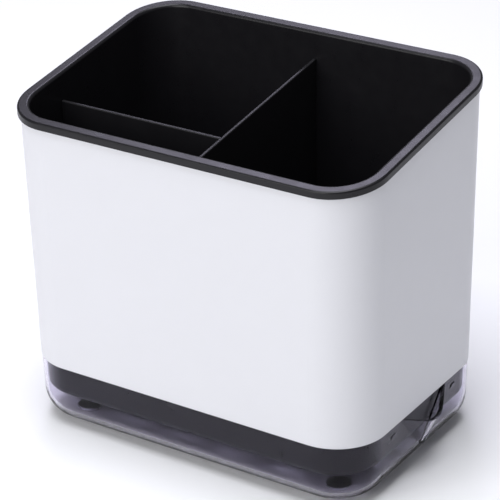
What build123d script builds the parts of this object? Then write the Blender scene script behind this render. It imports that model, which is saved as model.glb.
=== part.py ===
from build123d import *
import math
import os

# Cutlery holder for a worktop: a slanted moulded bin with two lift-out dividers, a painted steel
# sleeve around it, and a clear drip tray with a pouring spout that they both stand on.
# Millimetres. The origin is on the table under the middle of the overall length, spout included.
# +X points along the length towards the spout, -Y is the low front and +Z is up.

# Rim and opening
rim_length = 176.5
rim_width = 117.6
rim_corner_radius = 22.8
rim_middle_height = 155.0
rim_slope_degrees = 8.1
rim_plate_thickness = 1.6
rim_lip_depth = 1.5
rim_overhang = 1.2
rim_outer_round = 0.9
rim_inner_round = 1.4

# Painted steel sleeve
sheet_thickness = 0.8
sleeve_draft = 1.1
sleeve_bottom_height = 30.4
sleeve_bottom_corner_radius = 23.1
hem_height = 5.5
hem_round = 0.35

# Moulded bin
bin_wall_thickness = 2.4
bin_floor_thickness = 2.4
bin_bottom_height = 15.0
bin_bottom_round = 4.0

# Dividers and the ribs that guide them
divider_thickness = 1.6
divider_drop_below_rim = 12.2
divider_top_round = 0.5
cross_divider_x = 0.0
side_divider_y = -20.2
tongue_groove_depth = 0.7
guide_rib_width = 1.6
guide_rib_reach = 3.0
guide_rib_height = 58.0

# Drain slots in the bin floor
slot_length = 14.0
slot_width = 3.2
slot_columns_per_side = 3
slot_rows_behind_side_divider = 4

# Clear drip tray
tray_step_in = 0.3
tray_wall_thickness = 1.3
tray_floor_thickness = 2.0
tray_draft = 0.7
tray_bottom_round = 12.8

# Pouring spout on the tray's right end, a beak that grows from nothing at its foot up to the tray's
# edge. Its half width, reach and tip radius are those at the edge, before the lip is cut. The beak
# starts at a small share of its full size.
spout_half_width = 18.8
spout_reach = 13.5
spout_tip_radius = 17.0
spout_foot_height = 8.0
spout_start_share = 0.08
spout_lip_height = 22.6
spout_lip_round = 20.0
spout_cavity_lift = 1.1

# Oval nubs on the tray's right end, either side of the spout
nub_half_spacing = 25.5
nub_height = 25.8
nub_length = 5.6
nub_radius = 1.6
nub_rise = 0.6

# Soft feet
foot_radius = 5.5
foot_thickness = 1.7
foot_recess_depth = 0.9
foot_edge_round = 0.4
foot_inset_from_tray_side = 20.6

# Inside corners of mouldings are never sharper than this
least_inside_round = 0.5

# Clearances
sleeve_to_bin_gap = 0.9
lip_to_sleeve_clearance = 0.3
bin_to_tray_clearance = 0.55
divider_end_clearance = 0.35
divider_side_clearance = 0.3
foot_recess_clearance = 0.15

# How far cutting shapes run past what they cut, and how close an edge must lie to count as on a plane
cut_margin = 5.0
on_plane_tolerance = 0.01

tray_base_height = foot_thickness - foot_recess_depth
slope = math.radians(rim_slope_degrees)
rim_height_range = rim_width * math.tan(slope)
rim_outline = (rim_length, rim_width, rim_corner_radius)
cutting_height = rim_middle_height + rim_height_range


def shrink(outline, amount):
    """The length, width and corner radius of an outline moved inwards all round."""
    length, width, radius = outline
    return length - 2 * amount, width - 2 * amount, radius - amount


class DraftedWall:
    """The face of a moulded or folded wall: a rounded rectangle that changes steadily with height."""

    def __init__(self, low_outline, low_height, high_outline, high_height):
        self.low_outline = low_outline
        self.low_height = low_height
        self.high_outline = high_outline
        self.high_height = high_height

    def outline(self, height, inset=0.0):
        share = (height - self.low_height) / (self.high_height - self.low_height)
        pairs = zip(self.low_outline, self.high_outline)
        return shrink([low + (high - low) * share for low, high in pairs], inset)

    def solid(self, bottom, top, inset=0.0):
        faces = [
            Plane.XY.offset(height) * RectangleRounded(*self.outline(height, inset))
            for height in (bottom, top)
        ]
        return loft(faces, ruled=True)


def slanted_plane(drop):
    """The plane of the rim's top face, lowered by a vertical distance."""
    return Plane(
        origin=(0, 0, rim_middle_height - drop),
        x_dir=(1, 0, 0),
        z_dir=(0, -math.sin(slope), math.cos(slope)),
    )


def below(solid, drop):
    return split(solid, bisect_by=slanted_plane(drop), keep=Keep.BOTTOM)


def above(solid, drop):
    return split(solid, bisect_by=slanted_plane(drop), keep=Keep.TOP)


def edges_on_plane(solid, plane):
    """The edges whose middle and ends all lie on a plane."""
    return [
        edge for edge in solid.edges()
        if all(abs(plane.to_local_coords(edge @ share).Z) < on_plane_tolerance for share in (0, 0.5, 1))
    ]


def edges_at_height(solid, height):
    return edges_on_plane(solid, Plane.XY.offset(height))


def slab(x_range, y_range, z_range):
    """A plain block between two places on each axis."""
    lows, highs = zip(x_range, y_range, z_range)
    size = [high - low for low, high in zip(lows, highs)]
    middle = [(high + low) / 2 for low, high in zip(lows, highs)]
    return Pos(*middle) * Box(*size)


# The faces that the pieces nest by, from the sleeve inwards
sleeve_top_outline = shrink(rim_outline, rim_overhang)
sleeve_bottom_length = sleeve_top_outline[0] - 2 * sleeve_draft
sleeve_bottom_width = sleeve_top_outline[1] - 2 * sleeve_draft
sleeve_bottom_outline = (sleeve_bottom_length, sleeve_bottom_width, sleeve_bottom_corner_radius)
sleeve_face = DraftedWall(
    sleeve_bottom_outline, sleeve_bottom_height, sleeve_top_outline, rim_middle_height
)

tray_top_outline = shrink(sleeve_bottom_outline, tray_step_in)
tray_face = DraftedWall(
    shrink(tray_top_outline, tray_draft), tray_base_height, tray_top_outline, sleeve_bottom_height
)
tray_floor_height = tray_base_height + tray_floor_thickness
tray_floor_round = max(tray_bottom_round - tray_wall_thickness, least_inside_round)
tray_end_x = tray_top_outline[0] / 2

bin_bottom_inset = tray_wall_thickness + bin_to_tray_clearance
bin_face = DraftedWall(
    tray_face.outline(bin_bottom_height, bin_bottom_inset),
    bin_bottom_height,
    shrink(sleeve_top_outline, sheet_thickness + sleeve_to_bin_gap),
    rim_middle_height,
)
bin_floor_height = bin_bottom_height + bin_floor_thickness
bin_floor_round = max(bin_bottom_round - bin_wall_thickness, least_inside_round)


def bin_inside(clearance=0.0):
    """The space inside the bin, with the rounded edge of its floor, less a clearance at the walls."""
    space = bin_face.solid(bin_floor_height, cutting_height, bin_wall_thickness + clearance)
    return fillet(edges_at_height(space, bin_floor_height), bin_floor_round)


def rim():
    """The slanted rim: a flat plate with a turned-down lip that hides the sleeve's cut edge."""
    rim_depth = rim_plate_thickness + rim_lip_depth
    low = rim_middle_height - rim_height_range
    plate = extrude(Plane.XY.offset(low) * RectangleRounded(*rim_outline), cutting_height - low)
    plate = above(below(plate, 0), rim_depth)
    plate = fillet(edges_on_plane(plate, slanted_plane(0)), rim_outer_round)
    channel = sleeve_face.solid(low, cutting_height, -lip_to_sleeve_clearance)
    channel = below(channel, rim_plate_thickness)
    return plate - channel


def guide_ribs():
    """Pairs of low ribs that hold the dividers' ends, on the front, back and left walls."""
    lining = bin_inside() - bin_face.solid(
        bin_bottom_height, cutting_height, bin_wall_thickness + guide_rib_reach
    )
    top = bin_floor_height + guide_rib_height
    heights = (bin_floor_height, top)
    near = divider_thickness / 2 + divider_side_clearance
    far = near + guide_rib_width
    ribs = []
    for side in (-1, 1):
        x_places = sorted((cross_divider_x + side * near, cross_divider_x + side * far))
        y_places = sorted((side_divider_y + side * near, side_divider_y + side * far))
        ribs.append(slab(x_places, (-rim_width, rim_width), heights))
        ribs.append(slab((-rim_length, cross_divider_x - far), y_places, heights))
    return [lining & rib for rib in ribs]


def drain_slots():
    """Rounded slots through the bin floor, in columns either side of the cross divider."""
    inside = bin_face.outline(bin_floor_height, bin_wall_thickness)
    half_length = inside[0] / 2
    half_width = inside[1] / 2
    front_row = (side_divider_y - half_width) / 2
    row_pitch = (half_width - side_divider_y) / slot_rows_behind_side_divider
    rows = [front_row]
    rows += [side_divider_y + row_pitch * (row + 0.5) for row in range(slot_rows_behind_side_divider)]
    slots = []
    for side in (-1, 1):
        column_pitch = (half_length - side * cross_divider_x) / slot_columns_per_side
        for column in range(slot_columns_per_side):
            x = cross_divider_x + side * column_pitch * (column + 0.5)
            for y in rows:
                sketch = Plane.XY.offset(bin_bottom_height - cut_margin) * Pos(x, y) * SlotOverall(
                    slot_length, slot_width
                )
                slots.append(extrude(sketch, bin_floor_thickness + 2 * cut_margin))
    return slots


def inner_bin():
    walls = bin_face.solid(bin_bottom_height, cutting_height)
    walls = fillet(edges_at_height(walls, bin_bottom_height), bin_bottom_round)
    body = below(walls, rim_plate_thickness / 2) + rim()
    body = body - bin_inside()
    body = body + guide_ribs()
    body = body - drain_slots()
    top_face = body.faces().sort_by(Axis((0, 0, 0), slanted_plane(0).z_dir))[-1]
    return fillet(top_face.inner_wires()[0].edges(), rim_inner_round)


def outer_sleeve():
    """Bent sheet with a folded hem at its lower edge and a slanted upper edge."""
    sheet = sleeve_face.solid(sleeve_bottom_height, cutting_height)
    hem_top = sleeve_bottom_height + hem_height
    hem_outline = shrink(sleeve_bottom_outline, 2 * sheet_thickness)
    hollow = sleeve_face.solid(hem_top, cutting_height + cut_margin, sheet_thickness)
    hem_plane = Plane.XY.offset(sleeve_bottom_height - cut_margin)
    hem_hollow = extrude(hem_plane * RectangleRounded(*hem_outline), hem_height + 2 * cut_margin)
    sleeve = below(sheet - hollow - hem_hollow, rim_plate_thickness)
    return fillet(edges_at_height(sleeve, sleeve_bottom_height), hem_round)


def spout_profile(share):
    """The spout's plan, a V with a rounded tip, at a share of its full size and height."""
    height = spout_foot_height + (sleeve_bottom_height - spout_foot_height) * share
    wall_x = tray_face.outline(height)[0] / 2
    back_x = wall_x - tray_wall_thickness / 2
    half_width = spout_half_width * share
    tip_x = wall_x + spout_reach * share
    points = [
        (back_x, -half_width), (wall_x, -half_width), (tip_x, 0),
        (wall_x, half_width), (back_x, half_width),
    ]
    profile = Plane.XY.offset(height) * make_face(Polyline(*points, close=True))
    tip = profile.vertices().sort_by(Axis.X)[-1]
    return fillet(tip, spout_tip_radius * share)


def spout_block():
    """The beak, which starts small at its foot and widens steadily up to the tray's edge."""
    return loft([spout_profile(spout_start_share), spout_profile(1)], ruled=True)


def spout_mouth():
    """The space above the spout's lip, a wide V with a rounded low point."""
    top = sleeve_bottom_height
    points = [
        (-spout_half_width, top + cut_margin),
        (-spout_half_width, top),
        (0, spout_lip_height),
        (spout_half_width, top),
        (spout_half_width, top + cut_margin),
    ]
    start_x = tray_end_x - cut_margin
    profile = Plane.YZ.offset(start_x) * make_face(Polyline(*points, close=True))
    low_point = profile.vertices().sort_by(Axis.Z)[0]
    profile = fillet(low_point, spout_lip_round)
    return extrude(profile, 2 * cut_margin + spout_reach)


def oval_nubs():
    """Low bumps with round ends, sunk in the outside of the right end, to grip the tray by."""
    outside_x = tray_face.outline(nub_height)[0] / 2
    straight = nub_length - 2 * nub_radius
    bar = Rotation(90, 0, 0) * Cylinder(nub_radius, straight)
    for end in (-1, 1):
        bar = bar + Pos(0, end * straight / 2, 0) * Sphere(nub_radius)
    x = outside_x + nub_rise - nub_radius
    return [Pos(x, side * nub_half_spacing, nub_height) * bar for side in (-1, 1)]


def foot_places():
    """Names and plan positions of the four feet."""
    x = tray_top_outline[0] / 2 - foot_inset_from_tray_side
    y = tray_top_outline[1] / 2 - foot_inset_from_tray_side
    return {
        "front_left_foot": (-x, -y),
        "front_right_foot": (x, -y),
        "back_left_foot": (-x, y),
        "back_right_foot": (x, y),
    }


def drip_tray():
    """Clear tray: its top edge carries the sleeve's hem, and its right end has the spout."""
    body = tray_face.solid(tray_base_height, sleeve_bottom_height)
    body = fillet(edges_at_height(body, tray_base_height), tray_bottom_round)
    body = body + spout_block() + oval_nubs()
    hollow = tray_face.solid(
        tray_floor_height, sleeve_bottom_height + cut_margin, tray_wall_thickness
    )
    body = body - fillet(edges_at_height(hollow, tray_floor_height), tray_floor_round)
    body = body - Pos(-tray_wall_thickness, 0, spout_cavity_lift) * spout_block()
    body = body - spout_mouth()
    recess_radius = foot_radius + foot_recess_clearance
    for x, y in foot_places().values():
        recess = Pos(x, y, tray_base_height - cut_margin) * Cylinder(
            recess_radius, cut_margin + foot_recess_depth,
            align=(Align.CENTER, Align.CENTER, Align.MIN),
        )
        body = body - recess
    return body


def foot(x, y):
    disc = Pos(x, y, 0) * Cylinder(
        foot_radius, foot_thickness, align=(Align.CENTER, Align.CENTER, Align.MIN)
    )
    return fillet(edges_at_height(disc, 0), foot_edge_round)


def divider_panel(x_range, y_range):
    """A flat panel inside the bin, its top edge parallel to the rim and rounded."""
    panel = bin_inside(divider_end_clearance) & slab(x_range, y_range, (0, 2 * cutting_height))
    panel = below(panel, divider_drop_below_rim)
    top_edges = edges_on_plane(panel, slanted_plane(divider_drop_below_rim))
    long_edges = [edge for edge in top_edges if edge.length > 2 * divider_thickness]
    return fillet(long_edges, divider_top_round)


def cross_divider():
    half = divider_thickness / 2
    panel = divider_panel((cross_divider_x - half, cross_divider_x + half), (-rim_width, rim_width))
    groove_half = half + divider_side_clearance
    left_face = cross_divider_x - half
    groove = slab(
        (left_face - cut_margin, left_face + tongue_groove_depth),
        (side_divider_y - groove_half, side_divider_y + groove_half),
        (0, 2 * cutting_height),
    )
    return panel - groove


def side_divider():
    half = divider_thickness / 2
    end = cross_divider_x - half + tongue_groove_depth - divider_side_clearance
    return divider_panel((-rim_length, end), (side_divider_y - half, side_divider_y + half))


def main():
    pieces = {
        "inner_bin": inner_bin(),
        "outer_sleeve": outer_sleeve(),
        "drip_tray": drip_tray(),
        "cross_divider": cross_divider(),
        "side_divider": side_divider(),
    }
    for name, (x, y) in foot_places().items():
        pieces[name] = foot(x, y)
    boxes = [piece.bounding_box() for piece in pieces.values()]
    middle_x = (min(box.min.X for box in boxes) + max(box.max.X for box in boxes)) / 2
    os.makedirs("parts", exist_ok=True)
    for name, piece in pieces.items():
        export_step(Pos(-middle_x, 0, 0) * piece, f"parts/{name}.step")
    print(f"The middle of the bin is at x = {-middle_x:.3f}")


main()
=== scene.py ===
import math

import bpy
from mathutils import Matrix, Vector


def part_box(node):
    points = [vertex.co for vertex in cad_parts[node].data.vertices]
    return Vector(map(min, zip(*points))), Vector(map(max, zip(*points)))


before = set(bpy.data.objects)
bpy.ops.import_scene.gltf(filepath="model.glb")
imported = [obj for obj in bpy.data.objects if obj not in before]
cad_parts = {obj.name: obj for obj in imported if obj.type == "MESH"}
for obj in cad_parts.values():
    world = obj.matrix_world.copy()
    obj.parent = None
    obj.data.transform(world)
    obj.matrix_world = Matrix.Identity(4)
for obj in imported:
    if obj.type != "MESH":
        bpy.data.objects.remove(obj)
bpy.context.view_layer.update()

# The photograph's camera, as angles round the holder and a place
# measured from under the centre of its rim
camera_azimuth = math.radians(33.574)
camera_elevation = math.radians(26.002)
camera_roll = math.radians(-1.310)
camera_place = Vector((0.4890, -0.7378, 0.5117))
camera_lens = 164.4
camera_sensor = 36.0

# The studio
sky_colour = (0.95, 0.97, 1.0)
sky_strength = 0.20
floor_size = 6.0
light_target = Vector((0.0, 0.0, 0.08))

# An area light's power for each square metre and unit of radiance
light_power_factor = 4

# The noise texture's octaves and the range that most of its values lie in
noise_detail = 2.0
noise_low = 0.3
noise_high = 0.7

rim_low, rim_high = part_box("inner_bin")
rim_centre_x = (rim_low.x + rim_high.x) / 2


class Finish:
    """A principled material with a few helpers for procedural detail measured in metres."""

    def __init__(self, name, colour, roughness):
        self.material = bpy.data.materials.new(name)
        self.material.use_nodes = True
        self.nodes = self.material.node_tree.nodes
        self.links = self.material.node_tree.links
        self.shader = self.nodes["Principled BSDF"]
        self.coordinates = self.nodes.new("ShaderNodeTexCoord")
        self.set("Base Color", (*colour, 1.0))
        self.set("Roughness", roughness)

    def set(self, socket, value):
        self.shader.inputs[socket].default_value = value

    def noise(self, size):
        """Noise whose blotches are about size metres across."""
        node = self.nodes.new("ShaderNodeTexNoise")
        node.inputs["Scale"].default_value = 1.0 / size
        node.inputs["Detail"].default_value = noise_detail
        self.links.new(self.coordinates.outputs["Object"], node.inputs["Vector"])
        return node.outputs["Fac"]

    def vary_colour(self, size, low, high):
        """Blotches that run from the low colour to the high one."""
        factor = self.noise(size)
        node = self.nodes.new("ShaderNodeMix")
        node.data_type = "RGBA"
        node.inputs["A"].default_value = (*low, 1.0)
        node.inputs["B"].default_value = (*high, 1.0)
        self.links.new(factor, node.inputs["Factor"])
        self.links.new(node.outputs["Result"], self.shader.inputs["Base Color"])

    def vary_roughness(self, size, low, high):
        """Blotches that run from the low roughness to the high one."""
        factor = self.noise(size)
        node = self.nodes.new("ShaderNodeMapRange")
        node.inputs["From Min"].default_value = noise_low
        node.inputs["From Max"].default_value = noise_high
        node.inputs["To Min"].default_value = low
        node.inputs["To Max"].default_value = high
        self.links.new(factor, node.inputs["Value"])
        self.links.new(node.outputs["Result"], self.shader.inputs["Roughness"])

    def bump(self, size, depth, strength):
        """Shallow relief, of a depth in metres."""
        factor = self.noise(size)
        node = self.nodes.new("ShaderNodeBump")
        node.inputs["Distance"].default_value = depth
        node.inputs["Strength"].default_value = strength
        self.links.new(factor, node.inputs["Height"])
        self.links.new(node.outputs["Normal"], self.shader.inputs["Normal"])


def moulded_plastic(name, roughness):
    """Satin anthracite moulding with the fine spark-eroded grain of its tool."""
    spread = 0.03
    finish = Finish(name, colour=(0.009, 0.0085, 0.010), roughness=roughness)
    finish.set("Specular IOR Level", 0.28)
    finish.vary_colour(size=0.012, low=(0.008, 0.0075, 0.009), high=(0.010, 0.0095, 0.011))
    finish.vary_roughness(size=0.006, low=roughness - spread, high=roughness + spread)
    finish.bump(size=0.0005, depth=0.00003, strength=0.12)
    return finish.material


def powder_coat():
    """Smooth white paint with a faint orange peel."""
    finish = Finish("white_powder_coat", colour=(0.67, 0.67, 0.695), roughness=0.38)
    finish.vary_colour(size=0.03, low=(0.665, 0.665, 0.69), high=(0.675, 0.675, 0.70))
    finish.vary_roughness(size=0.008, low=0.34, high=0.42)
    finish.bump(size=0.0014, depth=0.00002, strength=0.3)
    return finish.material


def clear_plastic():
    """Polished, slightly smoky clear plastic with a trace of flow in its surface."""
    finish = Finish("clear_smoky_plastic", colour=(0.80, 0.78, 0.87), roughness=0.03)
    finish.set("Transmission Weight", 1.0)
    finish.set("IOR", 1.18)
    finish.vary_roughness(size=0.01, low=0.02, high=0.05)
    finish.bump(size=0.012, depth=0.0001, strength=0.15)
    return finish.material


def soft_rubber():
    """Matt, slightly translucent rubber with a coarse moulded grain."""
    finish = Finish("foot_rubber", colour=(0.82, 0.82, 0.85), roughness=0.65)
    finish.set("Transmission Weight", 0.15)
    finish.vary_roughness(size=0.002, low=0.55, high=0.75)
    finish.bump(size=0.0004, depth=0.00004, strength=0.5)
    return finish.material


def assign(material, *nodes):
    for name in nodes:
        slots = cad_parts[name].data.materials
        slots.clear()
        slots.append(material)


def softbox(name, place, width, height, radiance, colour=(1.0, 1.0, 1.0)):
    """A rectangular light of a given brightness that faces the middle of the holder."""
    light = bpy.data.lights.new(name, "AREA")
    light.shape = "RECTANGLE"
    light.size = width
    light.size_y = height
    light.energy = light_power_factor * width * height * radiance
    light.color = colour
    lamp = bpy.data.objects.new(name, light)
    bpy.context.scene.collection.objects.link(lamp)
    lamp.location = place
    aim = light_target - Vector(place)
    lamp.rotation_euler = aim.to_track_quat("-Z", "Y").to_euler()


def studio():
    """Soft lights in front and above, and one behind that the rim mirrors."""
    world = bpy.data.worlds.new("studio")
    bpy.context.scene.world = world
    world.use_nodes = True
    background = world.node_tree.nodes["Background"]
    background.inputs["Color"].default_value = (*sky_colour, 1.0)
    background.inputs["Strength"].default_value = sky_strength

    softbox("key", place=(-0.3, -1.55, 0.75), width=1.3, height=1.0, radiance=2.85)
    softbox(
        "overhead", place=(0.0, -0.2, 1.6), width=1.1, height=1.3, radiance=4.3,
        colour=(0.95, 0.96, 1.03),
    )
    softbox(
        "sheen", place=(-0.62, 0.84, 1.15), width=0.5, height=0.5, radiance=3.7,
        colour=(1.0, 0.95, 1.2),
    )

    bpy.ops.mesh.primitive_plane_add(size=floor_size, location=(0.0, 0.0, 0.0))
    floor = bpy.context.object
    floor.name = "floor"
    paper = Finish("white_paper", colour=(0.92, 0.92, 0.92), roughness=0.9)
    floor.data.materials.append(paper.material)


def photograph_camera():
    """The camera that took the photograph, found from the holder's outline in it."""
    azimuth, elevation, roll = camera_azimuth, camera_elevation, camera_roll
    back = Vector((
        math.sin(azimuth) * math.cos(elevation),
        -math.cos(azimuth) * math.cos(elevation),
        math.sin(elevation),
    ))
    level = Vector((math.cos(azimuth), math.sin(azimuth), 0.0))
    upright = back.cross(level)
    right = level * math.cos(roll) + upright * math.sin(roll)
    up = upright * math.cos(roll) - level * math.sin(roll)
    lens = bpy.data.cameras.new("camera")
    lens.sensor_width = camera_sensor
    lens.lens = camera_lens
    camera = bpy.data.objects.new("camera", lens)
    bpy.context.scene.collection.objects.link(camera)
    place = camera_place + Vector((rim_centre_x, 0.0, 0.0))
    turn = Matrix((right, up, back)).transposed().to_4x4()
    camera.matrix_world = Matrix.Translation(place) @ turn
    bpy.context.scene.camera = camera


assign(moulded_plastic("bin_plastic", roughness=0.30), "inner_bin")
assign(moulded_plastic("divider_plastic", roughness=0.42), "cross_divider", "side_divider")
assign(powder_coat(), "outer_sleeve")
assign(clear_plastic(), "drip_tray")
assign(soft_rubber(), *(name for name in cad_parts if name.endswith("_foot")))
studio()
photograph_camera()
bpy.context.scene.view_settings.view_transform = "Standard"
